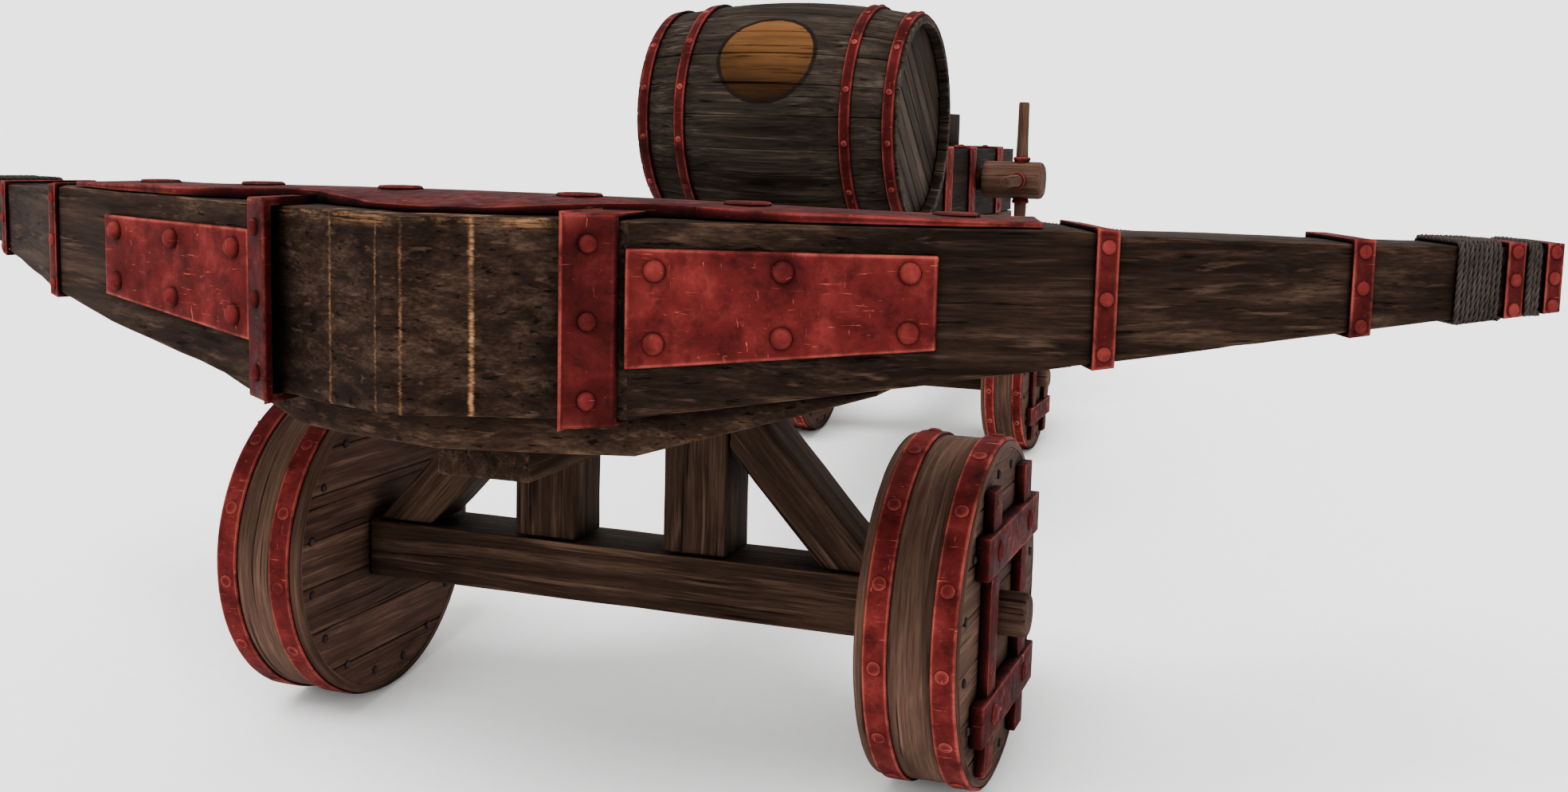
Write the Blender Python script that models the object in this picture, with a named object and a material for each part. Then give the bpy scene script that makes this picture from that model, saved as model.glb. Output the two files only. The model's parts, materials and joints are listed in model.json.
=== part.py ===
"""Wheeled siege crossbow (ballista) that shoots a barrel.

A giant bow lies across the front of a timber stock. The stock sits on a tall front axle and a
low rear axle, so it aims upward. A windlass is at the rear, and the barrel to be shot lies
across the stock in front of the bowstring.

Everything is built in the stock's own frame and hung on one empty, which tilts the stock until
all four wheels stand on the floor. In the stock's frame +X is the right side, +Y runs to the
rear, +Z is square to the stock, and the origin is on the floor line under the front axle.
"""

import math

import bmesh
import bpy
from mathutils import Vector

# ---------------------------------------------------------------- driving dimensions (metres)
U = 0.45                      # front wheel radius: the carpenter's unit for all the timber below
GAP = 0.0003                  # between pieces that touch
RUN = 0.0012                  # running clearance of a wooden wheel on its wooden axle

# Wheels
REAR_SCALE = 0.677            # a rear wheel against a front one
FRONT_TRACK = 2.296 * U       # centre line to the outer face of a front wheel
REAR_TRACK = 1.249 * U
WHEEL_WIDTH = 0.572 * U
AXLE_R = 0.130 * U
WHEELBASE = 6.291 * U
REAR_AXLE_Z = 1.452 * U       # rear axle above the stock frame's floor line
WHEEL_SIDES = 56
BAND_WIDTH = 0.136 * U
BAND_INSETS = (0.056 * U, 0.425 * U)
BAND_T = 0.018 * U

# Axle beams, posts and braces
BEAM_HALF_Y = 0.231 * U
BEAM_Z = (0.819 * U, 1.176 * U)
POST_X = (0.288 * U, 0.700 * U)
POST_Y = (-0.207 * U, 0.168 * U)
BRACE_FOOT_X = (1.29 * U, 1.68 * U)
BRACE_SLOPE = 1.10

# Spine, stock and the leaf under the bow
SPINE_HALF_X = 0.269 * U
SPINE_Z = (1.896 * U, 2.1325 * U)
SPINE_Y = (-1.822 * U, 8.40 * U)
STOCK_HALF_X = 0.400 * U
STOCK_TOP = 2.888 * U
STOCK_END = 8.90 * U
LEAF_BACK = 0.22 * U

# Bow: (x, y) of the front edge, depth, sweep in degrees, bottom z and top z, in units of U
BOW_STATIONS = (
    (0.00, -2.700, 1.50, 0.0, 2.355, 3.275),
    (0.40, -2.545, 1.35, 0.0, 2.355, 3.275),
    (0.72, -2.420, 1.22, 0.0, 2.355, 3.275),
    (1.00, -2.310, 1.12, 5.0, 2.355, 3.275),
    (2.33, -1.795, 0.72, 25.5, 2.550, 3.275),
    (2.90, -1.500, 0.63, 25.5, 2.635, 3.275),
    (3.10, -1.390, 0.62, 25.5, 2.662, 3.250),
    (4.20, -0.615, 0.54, 25.5, 2.802, 3.220),
    (5.09, 0.080, 0.34, 25.5, 2.905, 3.205),
)
LEAF_STATIONS = (             # x, front y, back y, bottom z, top z, in units of U
    (0.00, -2.276, 0.220, 2.133, 2.3535),
    (0.60, -2.143, 0.220, 2.133, 2.3535),
    (0.93, -2.030, 0.220, 2.133, 2.3535),
    (1.00, -2.006, 0.060, 2.153, 2.3535),
    (1.16, -1.950, -0.300, 2.200, 2.368),
    (1.42, -1.862, -0.800, 2.273, 2.404),
    (1.77, -1.742, -1.150, 2.379, 2.452),
    (2.02, -1.660, -1.250, 2.452, 2.486),
)
ARM_STRAPS = ((2.975, 3.075), (4.080, 4.180), (4.795, 4.885), (4.985, 5.070))
WINDINGS = ((4.560, 4.785), (4.895, 4.975))
STRAP_T = 0.022 * U
WINDING_T = 0.016 * U

# Red iron on the bow's nose
NOSE_STRAP_X = (0.782 * U, 0.982 * U)
NOSE_STRAP_FRONT = (-2.522 * U, -2.378 * U)
NOSE_STRAP_LEG = 0.300 * U
PLATE_X = (1.010 * U, 2.328 * U)
PLATE_T = 0.031 * U
PLATE_Z_INNER = (2.595 * U, 3.150 * U)
PLATE_Z_OUTER = (2.711 * U, 3.147 * U)
SHEET_T = 0.030 * U
SHEET_FRONT = (               # x, y of the front edge from the centre outward, in units of U
    (0.00, -2.420), (0.30, -2.350), (0.60, -2.180), (0.78, -2.070), (0.95, -1.990),
    (1.15, -1.990), (1.45, -2.050), (1.70, -2.020), (2.30, -1.795), (2.75, -1.565),
)
SHEET_BACK = (                # x, y of the back edge from the tip inward, in units of U
    (2.60, -1.020), (2.10, -1.150), (1.55, -1.260), (1.20, -1.420), (0.70, -1.330),
    (0.00, -1.240),
)

# Barrel
BARREL_Y = 2.900 * U
BARREL_HALF = 0.985 * U
BARREL_R = 0.865 * U
BARREL_END_R = 0.765 * U
HEAD_DEPTH = 0.070 * U
STAVE_T = 0.050 * U
HOOP_X = (0.925 * U, 0.625 * U)
HOOP_W = 0.080 * U
HOOP_T = 0.020 * U
BARREL_SIDES = 56
BARREL_Z = STOCK_TOP + BARREL_R + HOOP_T

# Windlass
BLOCK_Y = (5.400 * U, 8.850 * U)
BLOCK_TOP = 3.550 * U
BLOCK_BANDS = (5.970 * U, 6.900 * U, 8.110 * U)
BLOCK_BAND_W = 0.240 * U
BLOCK_BAND_T = 0.022 * U
WINCH_Y = 7.220 * U
WINCH_Z = 3.255 * U
WINCH_SHAFT_R = 0.110 * U
HUB_X = (0.460 * U, 1.050 * U)
HUB_R = 0.180 * U
SPIKE_X = 0.830 * U
SPIKE_R = 0.056 * U
SPIKE_REACH = 0.760 * U
STOP_POST = (0.150 * U, 7.060 * U, 7.420 * U, 3.890 * U)   # half width, front, back, top

# Bowstring: from the winding on one arm, behind the barrel, to the other arm
STRING_R = 0.020 * U
STRING_ROUTE = (              # in units of U, right half from the arm to the centre
    (4.440, 0.235, 3.090), (3.300, 1.270, 3.086), (2.150, 2.320, 3.082), (1.300, 3.090, 3.080),
    (0.950, 3.352, 3.080), (0.500, 3.450, 3.080), (0.000, 3.470, 3.080),
)

# ---------------------------------------------------------------- looks
MATERIALS = {
    "dark_timber": ((0.062, 0.040, 0.028), 0.80, 0.0),
    "wheel_timber": ((0.120, 0.080, 0.060), 0.82, 0.0),
    "barrel_timber": ((0.085, 0.068, 0.058), 0.80, 0.0),
    "light_timber": ((0.190, 0.110, 0.075), 0.75, 0.0),
    "red_iron": ((0.330, 0.035, 0.032), 0.55, 0.6),
    "rope": ((0.130, 0.110, 0.095), 0.90, 0.0),
    "string": ((0.035, 0.025, 0.020), 0.90, 0.0),
}


def material(name):
    """The named Principled BSDF, made once."""
    made = bpy.data.materials.get(name)
    if made:
        return made
    colour, rough, metal = MATERIALS[name]
    made = bpy.data.materials.new(name)
    made.use_nodes = True
    shader = made.node_tree.nodes["Principled BSDF"]
    shader.inputs["Base Color"].default_value = (*colour, 1.0)
    shader.inputs["Roughness"].default_value = rough
    shader.inputs["Metallic"].default_value = metal
    return made


# ---------------------------------------------------------------- builders
def finish(name, bm, look, parent, origin=(0.0, 0.0, 0.0), smooth=False):
    """Turns a bmesh drawn in the stock's frame into an object whose origin is at origin."""
    bmesh.ops.recalc_face_normals(bm, faces=bm.faces)
    bmesh.ops.translate(bm, verts=bm.verts, vec=-Vector(origin))
    mesh = bpy.data.meshes.new(name)
    bm.to_mesh(mesh)
    bm.free()
    mesh.materials.append(material(look))
    obj = bpy.data.objects.new(name, mesh)
    bpy.context.scene.collection.objects.link(obj)
    obj.parent = parent
    obj.location = Vector(origin) - (parent_origin(parent))
    if smooth:
        mesh.shade_smooth()
        mesh.set_sharp_from_angle(angle=math.radians(32))
    return obj


def parent_origin(parent):
    """Where an empty hung on the tilting frame sits, in the stock's frame."""
    return Vector(parent.get("stock_origin", (0.0, 0.0, 0.0)))


def loft(loops, closed=False):
    """A bmesh through loops of equal length, capped at both ends, or closed on itself."""
    bm = bmesh.new()
    rings = [[bm.verts.new(point) for point in loop] for loop in loops]
    count = len(rings[0])
    pairs = list(zip(rings, rings[1:]))
    if closed:
        pairs.append((rings[-1], rings[0]))
    for a, b in pairs:
        for i in range(count):
            j = (i + 1) % count
            bm.faces.new((a[i], a[j], b[j], b[i]))
    if not closed:
        bm.faces.new(rings[0])
        bm.faces.new(rings[-1])
    return bm


def box(name, x, y, z, look, parent):
    corners = [(x[0], y[0]), (x[1], y[0]), (x[1], y[1]), (x[0], y[1])]
    return finish(name, loft([[(cx, cy, cz) for cx, cy in corners] for cz in z]), look, parent)


def prism_x(name, outline, x, look, parent):
    """A (y, z) outline extruded along X."""
    return finish(name, loft([[(cx, cy, cz) for cy, cz in outline] for cx in x]), look, parent)


def prism_y(name, outline, y, look, parent):
    """An (x, z) outline extruded along Y."""
    return finish(name, loft([[(cx, cy, cz) for cx, cz in outline] for cy in y]), look, parent)


def circle_x(x, centre, radius, sides, phase=0.0):
    """Points of a circle square to X."""
    turn = 2 * math.pi / sides
    return [
        (
            x,
            centre[0] + radius * math.cos(phase + i * turn),
            centre[1] + radius * math.sin(phase + i * turn),
        )
        for i in range(sides)
    ]


def turned_x(name, profile, centre, sides, look, parent, phase=0.0, ring=False):
    """A turned piece about an axis along X. The profile is (x, radius) points."""
    loops = [circle_x(x, centre, r, sides, phase) for x, r in profile]
    origin = (0.0, centre[0], centre[1])
    return finish(name, loft(loops, closed=ring), look, parent, origin, smooth=True)


def cut(obj, cutter):
    """Subtracts a hidden cutter from an object."""
    cutter.hide_render = True
    cutter.display_type = "WIRE"
    boolean = obj.modifiers.new("cut", "BOOLEAN")
    boolean.operation = "DIFFERENCE"
    boolean.solver = "EXACT"
    boolean.object = cutter


def join(obj, other):
    """Unites an object with a hidden helper."""
    other.hide_render = True
    other.display_type = "WIRE"
    boolean = obj.modifiers.new("join", "BOOLEAN")
    boolean.operation = "UNION"
    boolean.solver = "EXACT"
    boolean.object = other


def empty(name, parent=None, origin=(0.0, 0.0, 0.0)):
    made = bpy.data.objects.new(name, None)
    bpy.context.scene.collection.objects.link(made)
    made["stock_origin"] = origin
    if parent:
        made.parent = parent
        made.location = origin
    return made


def side_name(side):
    return "right" if side > 0 else "left"


# ---------------------------------------------------------------- the bow
def bow_section(at):
    """Front edge, back edge, bottom and top of the bow where its front edge has this x."""
    for a, b in zip(BOW_STATIONS, BOW_STATIONS[1:]):
        if at <= b[0] + 1e-9:
            t = (at - a[0]) / (b[0] - a[0])
            x, y, depth, sweep, low, high = (p + (q - p) * t for p, q in zip(a, b))
            sweep = math.radians(sweep)
            back = (x - depth * math.sin(sweep), y + depth * math.cos(sweep))
            return (x, y), back, low, high
    raise ValueError(at)


def bow_loop(at, side, out=0.0):
    """The bow's cross-section as a loop of four corners, grown outward by out metres."""
    front, back, low, high = bow_section(at)
    along = Vector((back[0] - front[0], back[1] - front[1])).normalized() * out
    f = (side * (front[0] * U - along.x), front[1] * U - along.y)
    b = (side * (back[0] * U + along.x), back[1] * U + along.y)
    low = low * U - out
    high = high * U + out
    return [(*f, low), (*f, high), (*b, high), (*b, low)]


def build_bow(parent):
    right = [bow_loop(s[0], 1) for s in BOW_STATIONS]
    left = [bow_loop(s[0], -1) for s in BOW_STATIONS[1:]]
    finish("bow_beam", loft(left[::-1] + right), "dark_timber", parent)

    def leaf_loop(station, side):
        x, front, back, low, high = (value * U for value in station)
        return [(side * x, front, low), (side * x, front, high), (side * x, back, high), (side * x, back, low)]

    right = [leaf_loop(s, 1) for s in LEAF_STATIONS]
    left = [leaf_loop(s, -1) for s in LEAF_STATIONS[1:]]
    finish("bow_under_leaf", loft(left[::-1] + right), "dark_timber", parent)


def arm_ring(name, span, thickness, side, look, parent):
    """A band wrapped round one arm between two places along it."""
    loops = []
    for at, out in ((span[0], 0), (span[0], 1), (span[1], 1), (span[1], 0)):
        loops.append(bow_loop(at, side, GAP + thickness * out))
    finish(name, loft(loops, closed=True), look, parent)


def nose_wood_y(x):
    """The bow's front face beside the nose, at x metres."""
    return bow_section(x / U)[0][1] * U


def build_bow_iron(parent):
    low, high = (BOW_STATIONS[2][4] * U, BOW_STATIONS[2][5] * U)
    for side in (1, -1):
        hand = side_name(side)
        for i, span in enumerate(ARM_STRAPS, 1):
            arm_ring(f"arm_strap_{hand}_{i}", span, STRAP_T, side, "red_iron", parent)
        for i, span in enumerate(WINDINGS, 1):
            arm_ring(f"tip_winding_{hand}_{i}", span, WINDING_T, side, "rope", parent)

        sections = []
        for x, front in zip(NOSE_STRAP_X, NOSE_STRAP_FRONT):
            wood = nose_wood_y(x) - GAP
            leg = wood + NOSE_STRAP_LEG
            outline = [
                (front, low - STRAP_T), (leg, low - STRAP_T), (leg, low - GAP), (wood, low - GAP),
                (wood, high + GAP), (leg, high + GAP), (leg, high + SHEET_T), (front, high + SHEET_T),
            ]
            sections.append([(side * x, y, z) for y, z in outline])
        finish(f"nose_strap_{hand}", loft(sections), "red_iron", parent)

        sections = []
        for x, heights in zip(PLATE_X, (PLATE_Z_INNER, PLATE_Z_OUTER)):
            wood = nose_wood_y(min(x, BOW_STATIONS[4][0] * U)) - GAP
            front = wood - PLATE_T
            sections.append([
                (side * x, front, heights[0]), (side * x, front, heights[1]),
                (side * x, wood, heights[1]), (side * x, wood, heights[0]),
            ])
        finish(f"front_plate_{hand}", loft(sections), "red_iron", parent)

    half = list(SHEET_FRONT) + list(SHEET_BACK)
    mirrored = [(-x, y) for x, y in half[::-1] if x > 0]
    outline = [(x * U, y * U) for x, y in half + mirrored]
    floor = high + GAP
    bm = loft([[(x, y, z) for x, y in outline] for z in (floor, floor + SHEET_T - GAP)])
    finish("top_sheet", bm, "red_iron", parent)


def smooth_route(points, per_span):
    """Catmull-Rom points through the route."""
    made = []
    ends = [2 * points[0] - points[1]] + points + [2 * points[-1] - points[-2]]
    for a, b, c, d in zip(ends, ends[1:], ends[2:], ends[3:]):
        for i in range(per_span):
            t = i / per_span
            made.append(
                0.5 * (2 * b + (c - a) * t + (2 * a - 5 * b + 4 * c - d) * t * t
                       + (3 * b - a - 3 * c + d) * t ** 3)
            )
    made.append(points[-1])
    return made


def build_string(parent):
    right = [Vector(p) * U for p in STRING_ROUTE]
    left = [Vector((-p.x, p.y, p.z)) for p in right[:-1]]
    route = smooth_route(left + right[::-1], 5)
    curve = bpy.data.curves.new("bowstring", "CURVE")
    curve.dimensions = "3D"
    curve.bevel_depth = STRING_R
    curve.bevel_resolution = 2
    curve.use_fill_caps = True
    spline = curve.splines.new("POLY")
    spline.points.add(len(route) - 1)
    for point, where in zip(spline.points, route):
        point.co = (*where, 1.0)
    curve.materials.append(material("string"))
    obj = bpy.data.objects.new("bowstring", curve)
    bpy.context.scene.collection.objects.link(obj)
    obj.parent = parent


# ---------------------------------------------------------------- the carriage
def axle(name, half_y, centre_z, z, face_x, stub_x, radius, y, parent):
    """An axle beam with a round arm at each end."""
    wheel_gap = 0.004
    beam = box(name, (-face_x + wheel_gap, face_x - wheel_gap), (y - half_y, y + half_y), z,
               "dark_timber", parent)
    for side in (1, -1):
        arm = turned_x(
            f"{name}_arm_{side_name(side)}",
            [(side * (face_x - 0.09), radius), (side * (stub_x - 0.008), radius),
             (side * stub_x, radius * 0.86)],
            (y, centre_z), 32, "light_timber", parent,
        )
        join(beam, arm)


def build_carriage(parent):
    inner = FRONT_TRACK - WHEEL_WIDTH
    axle("front_axle_beam", BEAM_HALF_Y, U, BEAM_Z, inner, FRONT_TRACK + 0.175 * U, AXLE_R, 0.0, parent)
    s = REAR_SCALE
    rear_inner = REAR_TRACK - WHEEL_WIDTH * s
    rear_z = (REAR_AXLE_Z - 0.14 * U, REAR_AXLE_Z + 0.14 * U)
    axle("rear_axle_beam", BEAM_HALF_Y * s, REAR_AXLE_Z, rear_z, rear_inner,
         REAR_TRACK + 0.175 * U * s, AXLE_R * s, WHEELBASE, parent)

    top = SPINE_Z[1]
    foot = BEAM_Z[1] + GAP
    for side in (1, -1):
        hand = side_name(side)
        xs = sorted(side * x for x in POST_X)
        box(f"front_post_{hand}", xs, POST_Y, (foot, top), "dark_timber", parent)
        inner_x, outer_x = BRACE_FOOT_X
        rise = top - foot
        post_face = POST_X[1] + GAP
        outline = [
            (inner_x, foot), (outer_x, foot), (outer_x - rise / BRACE_SLOPE, top), (post_face, top),
            (post_face, foot + (inner_x - post_face) * BRACE_SLOPE),
        ]
        prism_y(f"front_brace_{hand}", [(side * x, z) for x, z in outline], POST_Y, "dark_timber", parent)
        xs = sorted(side * x for x in (SPINE_HALF_X + GAP, SPINE_HALF_X + 0.19 * U))
        box(f"rear_post_{hand}", xs, (WHEELBASE - 0.14 * U, WHEELBASE + 0.14 * U),
            (rear_z[1] + GAP, top), "dark_timber", parent)

    box("spine_beam", (-SPINE_HALF_X, SPINE_HALF_X), SPINE_Y, SPINE_Z, "dark_timber", parent)
    bow_back = (BOW_STATIONS[0][1] + BOW_STATIONS[0][2]) * U
    on_leaf = LEAF_STATIONS[0][4] * U + GAP
    on_spine = SPINE_Z[1] + GAP
    outline = [
        (bow_back + 0.004, on_leaf), (LEAF_BACK + 0.002, on_leaf), (LEAF_BACK + 0.002, on_spine),
        (STOCK_END, on_spine), (STOCK_END, STOCK_TOP), (bow_back + 0.004, STOCK_TOP),
    ]
    prism_x("stock_beam", outline, (-STOCK_HALF_X, STOCK_HALF_X), "dark_timber", parent)


def build_winch_block(parent):
    floor = STOCK_TOP + GAP
    block = box("winch_block", (-STOCK_HALF_X, STOCK_HALF_X), BLOCK_Y, (floor, BLOCK_TOP),
                "dark_timber", parent)
    bore = turned_x("winch_bore", [(-0.5, WINCH_SHAFT_R + RUN), (0.5, WINCH_SHAFT_R + RUN)],
                    (WINCH_Y, WINCH_Z), 32, "dark_timber", parent)
    cut(block, bore)
    half, front, back, top = STOP_POST
    box("winch_stop_post", (-half, half), (front, back), (BLOCK_TOP + GAP, top), "dark_timber", parent)
    inner = STOCK_HALF_X + GAP
    outer = inner + BLOCK_BAND_T
    roof = BLOCK_TOP + GAP
    for i, y in enumerate(BLOCK_BANDS, 1):
        outline = [
            (outer, floor), (outer, roof + BLOCK_BAND_T), (-outer, roof + BLOCK_BAND_T), (-outer, floor),
            (-inner, floor), (-inner, roof), (inner, roof), (inner, floor),
        ]
        prism_y(f"winch_block_band_{i}", outline, (y - BLOCK_BAND_W / 2, y + BLOCK_BAND_W / 2),
                "red_iron", parent)


# ---------------------------------------------------------------- moving pieces
def build_wheel(name, side, track, scale, centre, tilt, frame):
    """One wheel: plank disc, two tyre bands and the iron frame on its outer face."""
    hub = empty(f"{name}_axis", frame, (0.0, *centre))
    width = WHEEL_WIDTH * scale
    radius = U * scale
    band_t = BAND_T * scale
    wood_r = radius - band_t
    inner = track - width
    bore = AXLE_R * scale + RUN
    phase = tilt - math.pi / 2
    disc = [(inner, bore), (inner, wood_r), (track, wood_r), (track, bore)]
    disc = [(side * x, r) for x, r in disc]
    turned_x(f"{name}_disc", disc, centre, WHEEL_SIDES, "wheel_timber", hub, phase, ring=True)
    for label, inset in zip(("inner", "outer"), BAND_INSETS):
        a = inner + inset * scale
        b = a + BAND_WIDTH * scale
        ring = [(a, wood_r + GAP), (a, radius), (b, radius), (b, wood_r + GAP)]
        ring = [(side * x, r) for x, r in ring]
        turned_x(f"{name}_band_{label}", ring, centre, WHEEL_SIDES, "red_iron", hub, phase, ring=True)

    # The iron frame: two upright bars halved into two level bars.
    u = U * scale
    face = track + GAP
    y, z = centre

    def bar(label, ys, zs, thick):
        xs = sorted((side * face, side * (face + thick)))
        return box(f"{name}_{label}", xs, (y + ys[0] * u, y + ys[1] * u), (z + zs[0] * u, z + zs[1] * u),
                   "red_iron", hub)

    grid = bar("iron_frame", (-0.665, 0.665), (0.34, 0.58), 0.077 * u)
    join(grid, bar("level_bar", (-0.665, 0.665), (-0.58, -0.34), 0.077 * u))
    for ys in ((-0.50, -0.30), (0.30, 0.50)):
        join(grid, bar(f"upright_bar_{'front' if ys[0] < 0 else 'back'}", ys, (-0.80, 0.80), 0.058 * u))


def build_barrel(frame):
    centre = (BARREL_Y, BARREL_Z)
    slide = empty("barrel_slide", frame, (0.0, *centre))

    def bulge(x):
        return BARREL_R - (BARREL_R - BARREL_END_R) * (x / BARREL_HALF) ** 2

    steps = 10
    outside = [BARREL_HALF * (2 * i / steps - 1) for i in range(steps + 1)]
    profile = [(x, bulge(x)) for x in outside]
    lip = BARREL_END_R - STAVE_T
    head = BARREL_HALF - HEAD_DEPTH
    profile = [(-head, lip - 0.004), (-BARREL_HALF, lip)] + profile + [(BARREL_HALF, lip), (head, lip - 0.004)]
    turned_x("barrel_cask", profile, centre, BARREL_SIDES, "barrel_timber", slide)
    for side in (1, -1):
        for label, x in zip(("end", "belly"), HOOP_X):
            a, b = x - HOOP_W / 2, x + HOOP_W / 2
            ring = [(a, bulge(a) + 2 * GAP), (a, bulge(a) + HOOP_T), (b, bulge(b) + HOOP_T),
                    (b, bulge(b) + 2 * GAP)]
            ring = [(side * px, r) for px, r in ring]
            turned_x(f"barrel_hoop_{label}_{side_name(side)}", ring, centre, BARREL_SIDES, "red_iron",
                     slide, ring=True)


def build_winch(frame):
    centre = (WINCH_Y, WINCH_Z)
    axis = empty("winch_axis", frame, (0.0, *centre))
    end = HUB_X[0] + 0.22 * U
    turned_x("winch_shaft", [(-end, WINCH_SHAFT_R), (end, WINCH_SHAFT_R)], centre, 32, "light_timber", axis)
    for side in (1, -1):
        a, b = HUB_X
        socket = end + GAP
        profile = [
            (socket, 0.2 * WINCH_SHAFT_R), (socket, WINCH_SHAFT_R + GAP), (a, WINCH_SHAFT_R + GAP),
            (a, HUB_R - 0.006), (a + 0.006, HUB_R), (b - 0.010, HUB_R), (b, HUB_R - 0.010), (b, 0.2 * HUB_R),
        ]
        profile = [(side * x, r) for x, r in profile]
        hub = turned_x(f"winch_hub_{side_name(side)}", profile, centre, 32, "light_timber", axis)
        for label, direction in (("upright", (0, 0, 1)), ("level", (0, 1, 0))):
            rod = spike_rod(f"handspike_{label}_{side_name(side)}", side, direction, centre, axis)
            join(hub, rod)


def spike_rod(name, side, direction, centre, parent):
    """A pair of handspikes as one rod through the hub. It stops short of the shaft's socket."""
    along = Vector(direction)
    across = Vector((1, 0, 0)).cross(along)
    middle = Vector((side * SPIKE_X, *centre))
    loops = []
    for where, radius in ((-1, 0.85), (-0.97, 1.0), (0.97, 1.0), (1, 0.85)):
        ring = []
        for i in range(12):
            turn = 2 * math.pi * i / 12
            ring.append(
                middle + along * where * SPIKE_REACH
                + (Vector((1, 0, 0)) * math.cos(turn) + across * math.sin(turn)) * SPIKE_R * radius
            )
        loops.append(ring)
    return finish(name, loft(loops), "light_timber", parent, (0.0, *centre))


# ---------------------------------------------------------------- assembly
def stock_tilt():
    """The angle that brings both axles' wheels down onto one level floor."""
    rise = REAR_AXLE_Z - U
    span = math.hypot(WHEELBASE, rise)
    return math.atan2(rise, WHEELBASE) + math.asin((U - U * REAR_SCALE) / span)


def stand_on_floor(frame):
    """Moves the frame so that the object's box is centred over the origin, on z = 0."""
    bpy.context.view_layer.update()
    low = Vector((1e9, 1e9, 1e9))
    high = -low
    graph = bpy.context.evaluated_depsgraph_get()
    for obj in bpy.context.scene.objects:
        if obj.type == "EMPTY" or obj.hide_render:
            continue
        evaluated = obj.evaluated_get(graph)
        mesh = evaluated.to_mesh()
        for vertex in mesh.vertices:
            where = evaluated.matrix_world @ vertex.co
            low = Vector(map(min, low, where))
            high = Vector(map(max, high, where))
        evaluated.to_mesh_clear()
    frame.location = (-(low.x + high.x) / 2, -(low.y + high.y) / 2, -low.z)
    bpy.context.view_layer.update()


def main():
    for obj in list(bpy.data.objects):
        bpy.data.objects.remove(obj, do_unlink=True)
    tilt = stock_tilt()
    frame = empty("stock_frame")
    frame.rotation_euler.x = -tilt
    build_bow(frame)
    build_bow_iron(frame)
    build_string(frame)
    build_carriage(frame)
    build_winch_block(frame)
    for side in (1, -1):
        hand = side_name(side)
        build_wheel(f"front_wheel_{hand}", side, FRONT_TRACK, 1.0, (0.0, U), tilt, frame)
        build_wheel(f"rear_wheel_{hand}", side, REAR_TRACK, REAR_SCALE, (WHEELBASE, REAR_AXLE_Z), tilt, frame)
    build_barrel(frame)
    build_winch(frame)
    stand_on_floor(frame)


main()
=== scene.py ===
"""Visual model of a wheeled siege crossbow with a loaded barrel.

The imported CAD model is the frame. Each piece here stands for one or more of its nodes: the same
solid with worn edges, boards, rivets and twisted ropes, in procedural materials.

Pieces are drawn in the stock's own frame, like the CAD: +X right, +Y rear, +Z square to the stock,
origin on the floor line under the front axle. STOCK carries that frame to the row frame.
"""

import json
import random
from math import asin, atan2, copysign, cos, dist, hypot, pi, radians, sin

import bmesh
import bpy
from mathutils import Matrix, Vector, noise


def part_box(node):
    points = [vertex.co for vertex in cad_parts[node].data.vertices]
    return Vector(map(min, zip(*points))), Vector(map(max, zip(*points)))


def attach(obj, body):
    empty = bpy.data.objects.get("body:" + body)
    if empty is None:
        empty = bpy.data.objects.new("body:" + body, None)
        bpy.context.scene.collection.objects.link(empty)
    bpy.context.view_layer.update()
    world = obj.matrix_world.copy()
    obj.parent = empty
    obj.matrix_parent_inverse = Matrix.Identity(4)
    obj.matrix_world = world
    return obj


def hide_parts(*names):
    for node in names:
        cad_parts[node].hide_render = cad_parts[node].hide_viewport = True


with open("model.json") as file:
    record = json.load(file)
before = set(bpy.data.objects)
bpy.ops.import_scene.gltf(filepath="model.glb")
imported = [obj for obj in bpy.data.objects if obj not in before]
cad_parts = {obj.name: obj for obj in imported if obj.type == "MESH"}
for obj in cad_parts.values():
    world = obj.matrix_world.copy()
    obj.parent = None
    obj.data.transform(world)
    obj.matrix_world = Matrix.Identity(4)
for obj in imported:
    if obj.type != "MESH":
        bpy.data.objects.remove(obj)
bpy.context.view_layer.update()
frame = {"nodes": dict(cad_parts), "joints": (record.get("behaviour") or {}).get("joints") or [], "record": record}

# ---- the frame
JOINTS = {joint["name"]: joint for joint in frame["joints"]}
BODIES = frame["record"]["behaviour"]["bodies"]
BODY_OF = {node: body for body, nodes in BODIES.items() for node in nodes}
HINGE = Vector(JOINTS["front_wheel_right_spin"]["pos_m"])
SHOT = JOINTS["barrel_shot"]["axis"]

U = HINGE.z                                  # front wheel radius: the carpenter's unit
TILT = atan2(SHOT[2], -SHOT[1])         # the stock aims upward by this angle
STOCK = (
    Matrix.Translation(HINGE)
    @ Matrix.Rotation(-TILT, 4, "X")
    @ Matrix.Translation((0, 0, -U))
)
TO_STOCK = STOCK.inverted()
SIDES = (("left", -1), ("right", 1))


def cad_mesh(node):
    """A bmesh of a CAD node, in the stock's frame."""
    bm = bmesh.new()
    bm.from_mesh(frame["nodes"][node].data)
    bm.transform(TO_STOCK)
    bmesh.ops.remove_doubles(bm, verts=bm.verts, dist=1e-5)
    return bm


def cad_points(node):
    bm = cad_mesh(node)
    points = [v.co.copy() for v in bm.verts]
    bm.free()
    return points


def stock_box(node):
    """Lowest and highest corner of a CAD node in the stock's frame."""
    points = cad_points(node)
    return [Vector([end(p[i] for p in points) for i in range(3)]) for end in (min, max)]


def reach_of(node):
    """The side of the centre plane that a CAD node is on, and its nearest and farthest distance."""
    low, high = stock_box(node)
    return (copysign(1, low.x + high.x), *sorted((abs(low.x), abs(high.x))))


def seed_of(name):
    return sum(map(ord, name))


def add_object(name, data):
    obj = bpy.data.objects.new(name, data)
    bpy.context.scene.collection.objects.link(obj)
    return obj


def in_stock(point):
    return TO_STOCK @ Vector(point)


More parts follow.
